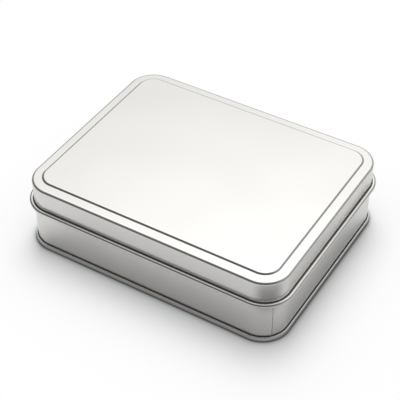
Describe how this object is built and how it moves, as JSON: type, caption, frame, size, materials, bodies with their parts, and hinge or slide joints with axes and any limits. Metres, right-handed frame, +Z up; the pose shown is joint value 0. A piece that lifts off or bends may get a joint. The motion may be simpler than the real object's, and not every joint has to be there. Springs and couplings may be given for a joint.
{
  "type": "hinged card game tin",
  "caption": "Rectangular tinplate tin with a hinged lid, raised top panel, rolled lid edge, seamed bottom and a loose tray with two card wells.",
  "frame": {"origin": "on the ground under the middle of the tin", "axes": "+X to the right along the long front side, +Y to the back where the hinge is, +Z up"},
  "size_m": [0.1442, 0.1151, 0.0384],
  "materials": {
    "tinplate": "satin bright tinplate",
    "steel_wire": "drawn steel wire",
    "tray_plastic": "matte moulded sheet"
  },
  "bodies": {
    "body": {"body_wall": "tinplate", "base_plate": "tinplate", "hinge_strap_left": "tinplate", "hinge_strap_right": "tinplate", "card_tray": "tray_plastic"},
    "lid": {"lid_shell": "tinplate", "hinge_wire": "steel_wire"}
  },
  "joints": [
    {"name": "lid_hinge", "type": "hinge", "parent": "body", "child": "lid", "pos_m": [0, 0.05595, 0.0243], "axis": [-1, 0, 0], "range_deg": [0, 105]}
  ]
}
